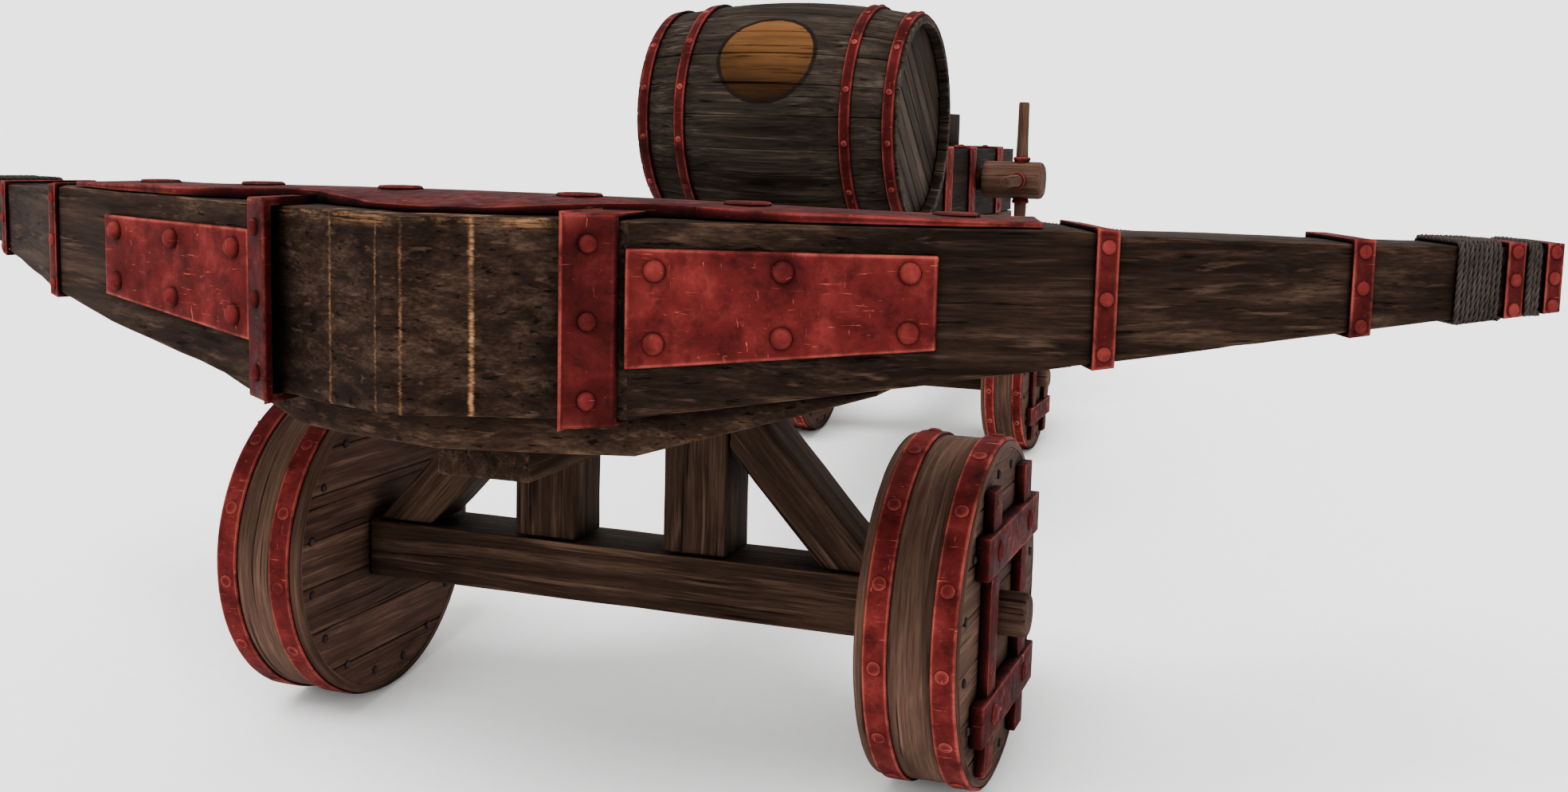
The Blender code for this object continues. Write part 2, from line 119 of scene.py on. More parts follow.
# ---- camera, light and floor
CAMERA_AT = (1.8953, -5.4470, 2.1640)
CAMERA_HEADING, CAMERA_PITCH, CAMERA_ROLL = 19.762, -13.751, -0.929      # degrees
CAMERA_LENS = 38.68
CAMERA_SHIFT = (-0.0027, -0.0364)
SKY_STRENGTH = 1.9
SUNS = (                        # name, strength, width in degrees, direction of the light
    ("key", 5, 35, (0.12, 0.50, -1)),
    ("fill", 0.5, 60, (-0.9, 0.8, -0.45)),
)
FLOOR_R = 120


def build_camera():
    data = bpy.data.cameras.new("camera")
    data.sensor_width = 36
    data.lens = CAMERA_LENS
    data.shift_x, data.shift_y = CAMERA_SHIFT
    data.clip_end = 500
    camera = add_object("camera", data)
    turn = (
        Matrix.Rotation(radians(CAMERA_HEADING), 4, "Z")
        @ Matrix.Rotation(radians(90 + CAMERA_PITCH), 4, "X")
        @ Matrix.Rotation(radians(CAMERA_ROLL), 4, "Z")
    )
    camera.matrix_world = Matrix.Translation(CAMERA_AT) @ turn
    bpy.context.scene.camera = camera


def build_light():
    world = bpy.data.worlds.new("studio")
    bpy.context.scene.world = world
    world.use_nodes = True
    sky = world.node_tree.nodes["Background"]
    sky.inputs["Color"].default_value = (1, 0.99, 0.98, 1)
    sky.inputs["Strength"].default_value = SKY_STRENGTH
    for name, strength, angle, aim in SUNS:
        data = bpy.data.lights.new(name, "SUN")
        data.energy = strength
        data.angle = radians(angle)
        lamp = add_object(name, data)
        lamp.rotation_euler = Vector(aim).to_track_quat("-Z", "Y").to_euler()


def build_floor():
    bm = bmesh.new()
    bmesh.ops.create_circle(bm, cap_ends=True, segments=64, radius=FLOOR_R)
    mesh = bpy.data.meshes.new("floor")
    bm.to_mesh(mesh)
    bm.free()
    floor = add_object("floor", mesh)
    paint = Shader("floor_paint")
    grain = paint.noise(paint.object_coords(), 30, 4)
    paint.colour(paint.ramp(grain, ((0.3, (0.86, 0.86, 0.86)), (0.7, (0.90, 0.90, 0.895)))))
    paint.put("Roughness", 0.9)
    mesh.materials.append(paint.material)


# ---- materials
class Shader:
    """A Principled material, with short ways to add nodes to it."""

    def __init__(self, name):
        self.material = bpy.data.materials.new(name)
        self.material.use_nodes = True
        self.tree = self.material.node_tree
        self.bsdf = self.tree.nodes["Principled BSDF"]

    def add(self, kind, links=(), **settings):
        node = self.tree.nodes.new("ShaderNode" + kind)
        for key, value in settings.items():
            setattr(node, key, value)
        for socket, value in dict(links).items():
            self.join(node.inputs[socket], value)
        return node

    def join(self, socket, value):
        if isinstance(value, bpy.types.NodeSocket):
            self.tree.links.new(value, socket)
        else:
            socket.default_value = value

    def put(self, socket, value):
        self.join(self.bsdf.inputs[socket], value)

    def colour(self, value):
        self.put("Base Color", value)

    def object_coords(self):
        """A piece's own coordinates, turned into the stock's frame."""
        row = self.add("TexCoord").outputs["Object"]
        turned = self.add("Mapping", {
            "Vector": row, "Location": TO_STOCK.to_translation(), "Rotation": TO_STOCK.to_euler(),
        })
        return turned.outputs["Vector"]

    def attribute(self, name, output):
        return self.add("Attribute", attribute_name=name).outputs[output]

    def stretch(self, vector, scale, shift=(0, 0, 0)):
        node = self.add("Mapping", {"Vector": vector, "Scale": scale, "Location": shift})
        return node.outputs["Vector"]

    def noise(self, vector, scale=1, detail=4, roughness=0.6, distortion=0, output="Fac"):
        node = self.add("TexNoise", {
            "Vector": vector, "Scale": scale, "Detail": detail, "Roughness": roughness,
            "Distortion": distortion,
        })
        return node.outputs[output]

    def math(self, operation, a, b=0):
        return self.add("Math", {0: a, 1: b}, operation=operation).outputs["Value"]

    def plus(self, a, b):
        return self.math("ADD", a, b)

    def minus(self, a, b):
        return self.math("SUBTRACT", a, b)

    def times(self, a, b):
        return self.math("MULTIPLY", a, b)

    def vector(self, operation, a, b=(0, 0, 0), output="Vector"):
        return self.add("VectorMath", {0: a, 1: b}, operation=operation).outputs[output]

    def ramp(self, factor, stops):
        node = self.add("ValToRGB", {"Fac": factor})
        band = node.color_ramp.elements
        while len(band) < len(stops):
            band.new(0.5)
        for element, (position, value) in zip(band, stops):
            element.position = position
            value = value if isinstance(value, tuple) else (value, value, value)
            element.color = (*value, 1)
        return node.outputs["Color"]

    def range(self, value, low, high, out_low=0, out_high=1):
        node = self.add("MapRange", {
            "Value": value, "From Min": low, "From Max": high, "To Min": out_low, "To Max": out_high,
        }, interpolation_type="SMOOTHSTEP")
        return node.outputs["Result"]

    def mix(self, factor, a, b, blend="MIX"):
        node = self.add("Mix", {0: factor, 6: a, 7: b}, data_type="RGBA", blend_type=blend)
        return node.outputs[2]

    def tint(self, colour, shade):
        """A colour multiplied by a grey value."""
        grey = self.add("CombineColor", {0: shade, 1: shade, 2: shade}).outputs[0]
        return self.mix(1, colour, grey, "MULTIPLY")

    def edges(self, radius):
        """1 on a sharp edge, falling to 0 away from it."""
        rounded = self.add("Bevel", {"Radius": radius}, samples=6).outputs["Normal"]
        true = self.add("NewGeometry").outputs["True Normal"]
        return self.range(self.vector("DOT_PRODUCT", rounded, true, "Value"), 0.995, 0.80)

    def ambient_shade(self, distance):
        """Ambient occlusion, used as painted shade: 1 in the open, falling to 0 in corners and under other pieces.
        """
        return self.add("AmbientOcclusion", {"Distance": distance}, samples=6).outputs["AO"]

    def bump(self, height, distance, strength=1):
        node = self.add("Bump", {"Height": height, "Distance": distance, "Strength": strength})
        self.put("Normal", node.outputs["Normal"])


LOOKS = {}                      # each builder below puts its material here


def build_timber(name, dark, mid, light, wear, rough=0.72, shade_reach=0.10, extra=None):
    """Weathered timber, with shade painted into its corners and under other pieces. The grain attribute gives
    (along, across, across) in metres.
    """
    s = Shader(name)
    grain = s.attribute("grain", "Vector")
    tone = s.attribute("tone", "Fac")
    wander = s.noise(s.stretch(grain, (1.6, 5, 5)), 1, 2, output="Color")
    wander = s.vector("MULTIPLY", s.vector("SUBTRACT", wander, (0.5, 0.5, 0.5)), (0.02, 0.026, 0.026))
    warped = s.vector("ADD", grain, wander)

    rings = s.noise(s.stretch(warped, (0.9, 26, 26)), 1, 5, 0.62, 0.5)
    fibres = s.noise(s.stretch(warped, (6, 190, 190)), 1, 5, 0.72)
    streaks = s.noise(s.stretch(warped, (2.2, 60, 60), (3, 1, 7)), 1, 3, 0.6)
    cracks = s.noise(s.stretch(warped, (1.4, 85, 85), (9, 4, 2)), 1, 3, 0.55)
    blotches = s.noise(s.stretch(grain, (1.8, 5, 5), (1, 6, 3)), 1, 4, 0.6)
    knots = s.add("TexVoronoi", {
        "Vector": s.stretch(warped, (1.5, 6.5, 6.5)), "Scale": 1, "Randomness": 1,
    }).outputs["Distance"]
    knots = s.range(knots, 0.055, 0.13, 1, 0)

    base = s.ramp(rings, ((0.30, dark), (0.50, mid), (0.72, light)))
    base = s.mix(s.range(fibres, 0.35, 0.66, 0.72, 0), base, (*dark, 1))
    base = s.mix(s.range(streaks, 0.56, 0.74, 0, 0.85), base, (*light, 1))
    shade = s.range(blotches, 0.28, 0.72, 0.62, 1.30)
    shade = s.times(shade, s.plus(1, tone))
    crack_mask = s.range(cracks, 0.30, 0.38, 1, 0)
    shade = s.times(shade, s.minus(1, s.times(crack_mask, 0.75)))
    shade = s.times(shade, s.minus(1, s.times(knots, 0.6)))

    rub = s.times(s.edges(0.012), s.range(streaks, 0.40, 0.62))
    base = s.mix(s.times(rub, 0.70), base, (*wear, 1))
    if extra:
        base = extra(s, base, streaks)
    # Painted shade: the colour darkens in corners and under other pieces.
    unshaded = s.ambient_shade(shade_reach)
    shade = s.times(shade, s.range(unshaded, 0.30, 1, 0.14, 1))
    s.colour(s.tint(base, shade))
    s.put("Roughness", s.range(fibres, 0.3, 0.7, rough - 0.10, rough + 0.14))
    s.put("Specular IOR Level", 0.02)
    height = s.plus(s.times(fibres, 0.45), s.times(rings, 0.9))
    height = s.minus(height, s.times(crack_mask, 0.55))
    height = s.minus(height, s.times(knots, 0.3))
    s.bump(height, 0.0045, 0.9)
    LOOKS[name] = s.material


def build_iron(name, dark, mid, light, wear, rim=0.014):
    """Hammered iron under old red paint, rubbed bright along its edges, with shade painted round rivets, in
    corners and under other pieces.
    """
    s = Shader(name)
    where = s.object_coords()
    mottle = s.noise(where, 9, 7, 0.66, 0.3)
    patches = s.noise(s.vector("ADD", where, (4, 2, 7)), 32, 5, 0.6)
    hammer = s.add("TexVoronoi", {"Vector": where, "Scale": 42}, feature="SMOOTH_F1")
    hammer = hammer.outputs["Distance"]
    scratch = s.noise(s.stretch(where, (14, 14, 190)), 1, 3, 0.55, 1.2)
    cross = s.noise(s.stretch(where, (150, 20, 26), (2, 5, 1)), 1, 3, 0.55, 0.9)

    base = s.ramp(mottle, ((0.32, dark), (0.50, mid), (0.68, light)))
    base = s.mix(s.range(patches, 0.42, 0.62, 0, 0.45), base, (*mid, 1))
    base = s.mix(s.range(patches, 0.50, 0.34, 0, 0.40), base, (*dark, 1))
    scratches = s.math("MAXIMUM", s.range(scratch, 0.66, 0.74), s.range(cross, 0.68, 0.76))
    base = s.mix(s.times(scratches, 0.55), base, (*wear, 1))
    unshaded = s.ambient_shade(0.055)
    rub = s.times(s.edges(rim), s.range(mottle, 0.34, 0.62, 0.10, 1))
    rub = s.times(rub, s.range(unshaded, 0.80, 0.97))
    base = s.mix(s.times(rub, 0.80), base, (*wear, 1))
    # Painted shade: darker round rivets, in corners and under other pieces.
    shade = s.range(unshaded, 0.50, 0.985, 0.10, 1)
    s.colour(s.tint(base, shade))
    s.put("Specular IOR Level", 0.03)
    s.put("Roughness", s.range(patches, 0.35, 0.65, 0.66, 0.86))
    height = s.plus(s.times(hammer, 0.5), s.times(patches, 0.6))
    height = s.minus(height, s.times(scratches, 0.15))
    s.bump(height, 0.0035, 0.7)
    LOOKS[name] = s.material


def build_rope(name, dark, light):
    """Laid hemp. The strands are in the mesh, and the fibres and the shade painted between them are here."""
    s = Shader(name)
    fibres = s.noise(s.attribute("grain", "Vector"), 260, 4, 0.7)
    stain = s.noise(s.object_coords(), 16, 4, 0.6)
    base = s.ramp(fibres, ((0.32, dark), (0.68, light)))
    # Painted shade: darker between strands and under other pieces.
    unshaded = s.range(s.ambient_shade(0.02), 0.2, 1, 0.25, 1)
    shade = s.times(s.range(stain, 0.3, 0.7, 0.7, 1.2), unshaded)
    s.colour(s.tint(base, shade))
    s.put("Roughness", s.range(fibres, 0.3, 0.7, 0.80, 0.95))
    s.put("Specular IOR Level", 0.05)
    s.bump(fibres, 0.0012, 0.8)
    LOOKS[name] = s.material


# Pale upright lines on the bow's nose, painted highlights that also look rubbed: x and half width in units of U,
# and strength
NOSE_HIGHLIGHTS = ((-0.403, 0.008, 0.50), (-0.075, 0.006, 0.35), (0.060, 0.006, 0.35), (0.357, 0.010, 0.90))


def nose_highlight_lines(s, base, streaks):
    """Pale upright lines on the nose, painted highlights with a rubbed, fibrous look, and a pale band along its
    top edge that is part wear and part painted highlight.
    """
    where = s.object_coords()
    parts = s.add("SeparateXYZ", {0: where}).outputs
    smear = s.noise(s.stretch(where, (3, 3, 95)), 1, 4, 0.75)
    smear = s.times(s.minus(smear, 0.5), 0.016)
    mask = None
    for x, half, strength in NOSE_HIGHLIGHTS:
        distance = s.math("ABSOLUTE", s.minus(s.plus(parts["X"], smear), x * U))
        line = s.range(distance, 0, half * U * 1.7, strength, 0)
        mask = line if mask is None else s.math("MAXIMUM", mask, line)
    patchy = s.noise(s.stretch(where, (9, 9, 17)), 1, 5, 0.75)
    fibre = s.noise(s.stretch(where, (9, 9, 230)), 1, 3, 0.7)
    mask = s.times(mask, s.range(patchy, 0.40, 0.60, 0.20, 1))
    mask = s.times(mask, s.range(fibre, 0.34, 0.60, 0.25, 1))
    front = s.range(parts["Y"], -2.30 * U, -2.42 * U)
    mask = s.times(mask, front)
    # The pale band along the top edge: part wear, part painted highlight.
    bow_top = stock_box("bow_beam")[1].z
    top = s.range(parts["Z"], bow_top - 0.035, bow_top - 0.006)
    top = s.times(s.times(top, front), s.range(patchy, 0.42, 0.60, 0, 0.55))
    mask = s.math("MAXIMUM", mask, s.times(top, s.range(fibre, 0.40, 0.62)))
    return s.mix(mask, base, (0.290, 0.140, 0.062, 1))


ROUNDEL_UP, ROUNDEL_R, ROUNDEL_RIM = 31, 0.345 * U, 0.026 * U       # degrees above level, radii


def roundel(s, base, streaks):
    """A plain painted disc with a dark rim, on the staves between the belly hoops. The disc is painted lighter
    towards its top and darker towards its bottom, as painted light.
    """
    low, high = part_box("barrel_cask")
    where = s.vector("SUBTRACT", s.object_coords(), tuple(in_stock((low + high) / 2)))
    parts = s.add("SeparateXYZ", {0: where}).outputs
    angle = s.math("ARCTAN2", parts["Z"], s.times(parts["Y"], -1))
    low, high = stock_box("barrel_cask")
    arc = s.times(s.minus(angle, radians(ROUNDEL_UP)), (high.z - low.z) / 2)
    ragged = s.noise(where, 30, 4, 0.6)
    ragged = s.times(s.minus(ragged, 0.5), 0.012)
    far = s.math("SQRT", s.plus(s.times(parts["X"], parts["X"]), s.times(arc, arc)))
    far = s.plus(far, ragged)
    disc = s.range(far, ROUNDEL_R - 0.002, ROUNDEL_R + 0.002, 1, 0)
    rim = s.range(far, ROUNDEL_R + ROUNDEL_RIM, ROUNDEL_R + ROUNDEL_RIM + 0.004, 1, 0)
    # Painted light: the disc's paint runs from dark at its bottom to light at its top.
    lit = s.range(arc, -ROUNDEL_R, ROUNDEL_R)
    paint = s.mix(lit, (0.012, 0.0050, 0.0016, 1), (0.090, 0.038, 0.012, 1))
    paint = s.tint(paint, s.range(streaks, 0.30, 0.65, 0.65, 1.15))
    base = s.mix(s.times(rim, 0.96), base, (0.006, 0.004, 0.003, 1))
    return s.mix(s.times(disc, 0.93), base, paint)


# Linear colours of each look: dark, mid, light, and where it is rubbed. A rope has dark and light.
build_timber("dark_timber", (0.009, 0.0048, 0.003), (0.0295, 0.0165, 0.0108), (0.07, 0.04, 0.026),
    (0.1, 0.056, 0.03))
# A darker copy of dark_timber, painted shade for the winch block and its stop post.
build_timber("shade_timber", (0.003, 0.0016, 0.001), (0.0085, 0.0047, 0.003), (0.022, 0.0125, 0.008),
    (0.06, 0.034, 0.021))
build_timber("bow_timber", (0.0046, 0.0024, 0.0016), (0.0165, 0.009, 0.006), (0.045, 0.026, 0.0175),
    (0.17, 0.095, 0.05), extra=nose_highlight_lines)
build_timber("wheel_timber", (0.022, 0.0115, 0.008), (0.058, 0.031, 0.0215), (0.1, 0.056, 0.039),
    (0.17, 0.1, 0.07), shade_reach=0.07)
build_timber("barrel_timber", (0.0055, 0.0037, 0.0027), (0.021, 0.015, 0.011), (0.052, 0.038, 0.028),
    (0.085, 0.062, 0.046), shade_reach=0.05, extra=roundel)
build_timber("head_timber", (0.007, 0.0046, 0.0032), (0.024, 0.0165, 0.0118), (0.048, 0.034, 0.025),
    (0.075, 0.056, 0.042), shade_reach=0.12)
build_timber("light_timber", (0.026, 0.013, 0.0088), (0.06, 0.031, 0.021), (0.1, 0.053, 0.037),
    (0.16, 0.085, 0.058), shade_reach=0.06)
build_iron("red_iron", (0.017, 0.0017, 0.0016), (0.056, 0.006, 0.0058), (0.118, 0.0145, 0.0128),
    (0.44, 0.088, 0.066))
build_iron("rivet_iron", (0.03, 0.0032, 0.003), (0.08, 0.0095, 0.0085), (0.15, 0.021, 0.018),
    (0.44, 0.088, 0.066), rim=0.004)
build_iron("strap_iron", (0.009, 0.0009, 0.0009), (0.029, 0.003, 0.003), (0.064, 0.0072, 0.0068),
    (0.29, 0.052, 0.04))
build_iron("nail_iron", (0.008, 0.0055, 0.005), (0.022, 0.016, 0.015), (0.042, 0.032, 0.03),
    (0.09, 0.07, 0.066), rim=0.004)
build_rope("rope", (0.0085, 0.0062, 0.0052), (0.044, 0.034, 0.029))
build_rope("string", (0.003, 0.0022, 0.0017), (0.016, 0.012, 0.009))


# ---- from a mesh to a piece
def along_x(p):
    return (p.x, p.y, p.z)


def along_y(p):
    return (p.y, p.x, p.z)


def along_z(p):
    return (p.z, p.x, p.y)


def lay_grain(bm, mapping, seed, tone=0, faces=None):
    """Writes the grain coordinates of each face corner, shifted so that no two boards match."""
    grain = bm.loops.layers.float_vector.get("grain") or bm.loops.layers.float_vector.new("grain")
    shade = bm.loops.layers.float.get("tone") or bm.loops.layers.float.new("tone")
    dice = random.Random(seed)
    shift = Vector([dice.uniform(-40, 40) for _ in range(3)])
    level = dice.uniform(-tone, tone)
    for face in faces or bm.faces:
        for loop in face.loops:
            loop[grain] = Vector(mapping(loop.vert.co)) + shift
            loop[shade] = level


def piece(name, bm, looks, body, nodes=(), sharp=38):
    """Turns a bmesh in the stock's frame into a piece that rides on a body."""
    bmesh.ops.recalc_face_normals(bm, faces=bm.faces)
    bm.transform(STOCK)
    mesh = bpy.data.meshes.new(name)
    bm.to_mesh(mesh)
    bm.free()
    looks = [looks] if isinstance(looks, str) else looks
    for look in looks:
        mesh.materials.append(LOOKS[look])
    mesh.shade_smooth()
    mesh.set_sharp_from_angle(angle=radians(sharp))
    obj = add_object(name, mesh)
    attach(obj, body)
    if nodes:
        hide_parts(*nodes)
    return obj


def bevel_edges(bm, edges, offset, profile=0.5):
    bmesh.ops.bevel(bm, geom=edges, offset=offset, segments=2, profile=profile, affect="EDGES",
                    clamp_overlap=True)


def sharp_edges(bm, turn):
    limit = radians(turn)
    return [e for e in bm.edges if len(e.link_faces) == 2 and e.calc_face_angle(0) > limit]


def join_flats(bm):
    bmesh.ops.dissolve_limit(bm, angle_limit=radians(0.4), verts=bm.verts[:], edges=bm.edges[:])


def soften(bm, bevel, turn=18):
    """Rounds each edge that turns by more than this many degrees."""
    join_flats(bm)
    bevel_edges(bm, sharp_edges(bm, turn), bevel)


def slice_up(bm, steps):
    """Cuts a mesh by evenly spaced planes square to X, Y and Z, so that it can be worn unevenly."""
    for axis, step in enumerate(steps):
        if not step:
            continue
        low = min(v.co[axis] for v in bm.verts)
        high = max(v.co[axis] for v in bm.verts)
        count = max(1, round((high - low) / step))
        direction = Vector([float(i == axis) for i in range(3)])
        for i in range(1, count):
            place = direction * (low + (high - low) * i / count)
            bmesh.ops.bisect_plane(bm, geom=bm.verts[:] + bm.edges[:] + bm.faces[:], dist=1e-5,
                                   plane_co=place, plane_no=direction)


def wear_down(bm, depth, seed, scale=7, edge=1):
    """Sinks the surface unevenly, most on its corners. Nothing moves outward."""
    bm.normal_update()
    shift = Vector((seed * 3.7, seed * 1.3, seed * 5.1))
    for v in bm.verts:
        corner = max((e.calc_face_angle(0) for e in v.link_edges if len(e.link_faces) == 2), default=0)
        worn = 0.5 + 0.5 * noise.noise(v.co * scale + shift)
        chips = max(0, noise.noise(v.co * scale * 3.1 - shift) - 0.15)
        v.co -= v.normal * depth * (worn + edge * (2.2 * chips if corner > 0.3 else 0))


def worn_timber(node, mapping, look="dark_timber", bevel=0.009, steps=(0.12, 0.12, 0.12), depth=0.003,
                mark=None, name=None, looks=None):
    """A CAD timber as worn, rounded wood."""
    bm = cad_mesh(node)
    soften(bm, bevel)
    slice_up(bm, steps)
    seed = seed_of(node)
    lay_grain(bm, mapping, seed, 0.08)
    wear_down(bm, depth, seed % 97)
    if mark:
        mark(bm)
    return piece(name or f"worn_{node}", bm, looks or look, BODY_OF[node], (node,))


def circle(centre, across, up, radius, sides):
    """Points round a centre, in the plane of two directions."""
    turns = [2 * pi * i / sides for i in range(sides)]
    return [centre + (across * cos(t) + up * sin(t)) * radius for t in turns]


def dome(bm, centre, normal, radius, height, sides=12):
    """A low round rivet head on a surface, with a narrow skirt."""
    normal = Vector(normal).normalized()
    side = normal.orthogonal().normalized()
    up = normal.cross(side)
    rings = loft(bm, [
        circle(Vector(centre) + normal * height * h, side, up, radius * r, sides)
        for r, h in ((1, -0.25), (1, 0.10), (0.90, 0.45), (0.66, 0.78), (0.34, 0.96))
    ], caps=False)
    tip = bm.verts.new(Vector(centre) + normal * height)
    for i in range(sides):
        bm.faces.new((rings[-1][i], rings[-1][(i + 1) % sides], tip))
    bm.faces.new(rings[0][::-1])


def rivets(name, places, radius, height, body, look="red_iron", sides=12):
    bm = bmesh.new()
    for centre, normal in places:
        dome(bm, centre, normal, radius, height, sides)
    return piece(name, bm, look, body, sharp=60)


def loft(bm, loops, closed=False, caps=True):
    """Faces through loops of equal length."""
    rings = [[bm.verts.new(point) for point in loop] for loop in loops]
    pairs = list(zip(rings, rings[1:])) + ([(rings[-1], rings[0])] if closed else [])
    for a, b in pairs:
        for i in range(len(a)):
            j = (i + 1) % len(a)
            bm.faces.new((a[i], a[j], b[j], b[i]))
    if caps and not closed:
        bm.faces.new(rings[0])
        bm.faces.new(rings[-1])
    return rings


def sweep_round(bm, profile, side, centre, sides):
    """A closed ring about the X axis. The profile is (distance from the centre plane, radius)."""
    turns = [360 * i / sides for i in range(sides)]
    loft(bm, [[ring_point(side * x, centre, r, turn) for x, r in profile] for turn in turns], closed=True)


# ---- the bow
ARM_TURN = atan2(2.39, 4.09)            # how far the arms sweep back
PLATE_RIVET_R, PLATE_RIVET_H = 0.052 * U, 0.044 * U


def arm_grain(p):
    """Grain that follows each arm, and runs square to the stock across the nose."""
    if abs(p.x) < 1 * U:
        return (p.x, p.y, p.z)
    c, s = cos(ARM_TURN), sin(ARM_TURN)
    return (abs(p.x) * c + p.y * s, -abs(p.x) * s + p.y * c, p.z)


def build_bow():
    bm = cad_mesh("bow_beam")
    soften(bm, 0.008)
    slice_up(bm, (0.07, 0, 0.09))
    parts = {5: [], 6: [], 7: []}            # faces of the left arm, the nose and the right arm, by seed
    for face in bm.faces:
        x = face.calc_center_median().x
        parts[6 if abs(x) < 0.98 * U else 5 if x < 0 else 7].append(face)
    for seed, faces in parts.items():
        lay_grain(bm, arm_grain, seed, 0.04, faces)
    wear_down(bm, 0.0028, 3)
    piece("bow", bm, "bow_timber", "carriage", ("bow_beam",))
    worn_timber("bow_under_leaf", along_x, steps=(0.09, 0.09, 0.05), bevel=0.006, name="bow_leaf")


def band_loops(node):
    """The outer loop of an arm's band at each of its two ends: front low, front high, back high, back low."""
    points = cad_points(node)
    side = copysign(1, sum(p.x for p in points))
    front = sorted(points, key=lambda p: p.y)
    fronts = front[: len(front) // 2]
    backs = front[len(front) // 2:]
    loops = []
    for inner in (True, False):
        loop = []
        for group, up in ((fronts, False), (fronts, True), (backs, True), (backs, False)):
            xs = sorted(abs(p.x) for p in group)
            split = (xs[0] + xs[-1]) / 2
            chosen = [p for p in group if (abs(p.x) < split) == inner]
            outward = -1 if group is fronts else 1
            sign = 1 if up else -1
            loop.append(max(chosen, key=lambda p: sign * p.z * 3 + outward * p.y))
        loops.append(loop)
    return loops, side


def worn_iron(node, name, bevel=0.0028, steps=(0, 0, 0), depth=0.0008, look="red_iron"):
    bm = cad_mesh(node)
    soften(bm, bevel)
    slice_up(bm, steps)
    wear_down(bm, depth, seed_of(node) % 89, 14, 0.6)
    return piece(name, bm, look, BODY_OF[node], (node,))


def to_front(normal):
    return -normal if normal.y > 0 else normal


def build_arm_iron():
    for hand in ("left", "right"):
        for i in range(1, 5):
            node = f"arm_strap_{hand}_{i}"
            worn_iron(node, f"iron_{node}", steps=(0, 0.06, 0.05), look="strap_iron")
            (inner, outer), side = band_loops(node)
            low = (inner[0] + outer[0]) / 2
            high = (inner[1] + outer[1]) / 2
            face = (outer[0] - inner[0]).cross(high - low) * side
            normal = to_front(Vector((face.x, face.y, 0)).normalized())
            radius = min(0.036 * U, (outer[0] - inner[0]).length * 0.33)
            places = [(low.lerp(high, t), normal) for t in (0.11, 0.50, 0.87)]
            rivets(f"rivets_{node}", places, radius, radius * 0.42, "carriage", "rivet_iron")


def build_nose_iron():
    """The two C-shaped straps beside the nose, the riveted plates and the sheet on top."""
    thick, leg_thick = 0.050 * U, 0.022 * U
    for hand, side in SIDES:
        node = f"nose_strap_{hand}"
        points = cad_points(node)
        inner_x = min(abs(p.x) for p in points)
        outer_x = max(abs(p.x) for p in points)
        low, high = min(p.z for p in points), max(p.z for p in points)
        bm = bmesh.new()
        sections = []
        for x in (inner_x, outer_x):
            ys = [p.y for p in points if abs(abs(p.x) - x) < 0.01 * U]
            front, leg = min(ys), max(ys)
            back, bottom, top = front + thick, low + leg_thick, high - leg_thick
            outline = ((front, low), (leg, low), (leg, bottom), (back, bottom), (back, top), (leg, top),
                       (leg, high), (front, high))
            sections.append([(side * x, y, z) for y, z in outline])
        loft(bm, sections)
        soften(bm, 0.004)
        slice_up(bm, (0, 0, 0.05))
        wear_down(bm, 0.0008, 5 + side, 14, 0.6)
        piece(f"iron_{node}", bm, "strap_iron", "carriage", (node,))
        a, b = Vector(sections[0][0]), Vector(sections[1][0])
        normal = to_front(Vector((b.y - a.y, -(b.x - a.x), 0)) * side)
        middle = (a + b) / 2
        places = [
            ((middle.x, middle.y, low + (high - low) * t), normal) for t in (0.13, 0.50, 0.86)
        ]
        rivets(f"rivets_{node}", places, 0.044 * U, 0.034 * U, "carriage", "red_iron", 14)

        node = f"front_plate_{hand}"
        worn_iron(node, f"iron_{node}", bevel=0.0035, steps=(0.07, 0, 0.05), depth=0.0014)
        inner, outer, normal = plate_front(node)
        places = []
        for t in (0.095, 0.505, 0.912):
            bottom, top = inner[0].lerp(outer[0], t), inner[1].lerp(outer[1], t)
            places += [(bottom + (top - bottom) * u, normal) for u in (0.205, 0.815)]
        rivets(f"rivets_{node}", places, PLATE_RIVET_R, PLATE_RIVET_H, "carriage", "rivet_iron", 14)

    build_top_sheet()


def plate_front(node):
    """The bottom and top corner of a plate's front face at its two ends, and the way the face looks."""
    points = cad_points(node)
    near = min(abs(p.x) for p in points) + 0.1 * U
    far = max(abs(p.x) for p in points) - 0.1 * U
    inner = sorted((p for p in points if abs(p.x) < near), key=lambda p: p.y)[:2]
    outer = sorted((p for p in points if abs(p.x) > far), key=lambda p: p.y)[:2]
    inner, outer = (sorted(pair, key=lambda p: p.z) for pair in (inner, outer))
    along = outer[0] - inner[0]
    return inner, outer, to_front(Vector((along.y, -along.x, 0)))


SHEET_RISE = 0.045 * U           # crown of the hammered sheet over the middle of the bow
OCTAGON = [pi * (i + 0.5) / 4 for i in range(8)]
SHEET_BOLTS = ((0.504, -1.774), (1.366, -1.730), (2.30, -1.40))


def sheet_crown(x, y):
    """How far the sheet stands up over the bow's flat top."""
    across = max(0, 1 - (x / (2.5 * U)) ** 2)
    depth = max(0, 1 - ((y / U + 1.72) / 0.62) ** 2)
    return SHEET_RISE * across * depth


